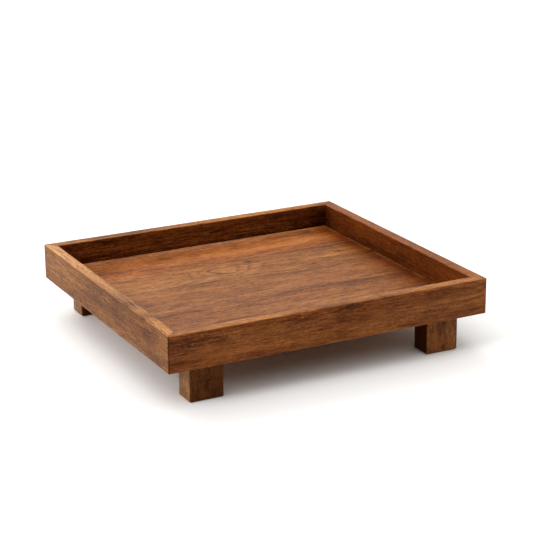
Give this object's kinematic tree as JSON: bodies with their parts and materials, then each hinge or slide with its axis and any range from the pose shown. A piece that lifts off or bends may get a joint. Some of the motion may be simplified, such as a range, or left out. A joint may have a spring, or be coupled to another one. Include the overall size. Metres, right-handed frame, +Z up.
{
  "type": "tea tray",
  "caption": "Low rectangular wooden tea tray: mitred rim rails round a recessed base of edge-glued boards, raised on block legs with room for fingers underneath.",
  "frame": {"origin": "on the table, under the centre of the tray's plan", "axes": "+Z up, +X to the right along the front rail, -Y to the front"},
  "size_m": [0.35, 0.32, 0.075],
  "materials": {
    "rail_wood": "satin oil",
    "base_wood": "satin oil",
    "leg_wood": "satin oil",
    "joinery_wood": "bare"
  },
  "bodies": {
    "root": {"front_rail": "rail_wood", "back_rail": "rail_wood", "left_rail": "rail_wood", "right_rail": "rail_wood", "base_board_1": "base_wood", "base_board_2": "base_wood", "base_board_3": "base_wood", "base_board_4": "base_wood", "base_board_5": "base_wood", "leg_front_left": "leg_wood", "leg_front_right": "leg_wood", "leg_back_left": "leg_wood", "leg_back_right": "leg_wood", "mitre_tongue_front_left": "joinery_wood", "mitre_tongue_front_right": "joinery_wood", "mitre_tongue_back_left": "joinery_wood", "mitre_tongue_back_right": "joinery_wood", "dowel_front_left_outer": "joinery_wood", "dowel_front_left_inner": "joinery_wood", "dowel_front_right_outer": "joinery_wood", "dowel_front_right_inner": "joinery_wood", "dowel_back_left_outer": "joinery_wood", "dowel_back_left_inner": "joinery_wood", "dowel_back_right_outer": "joinery_wood", "dowel_back_right_inner": "joinery_wood"}
  },
  "joints": []
}
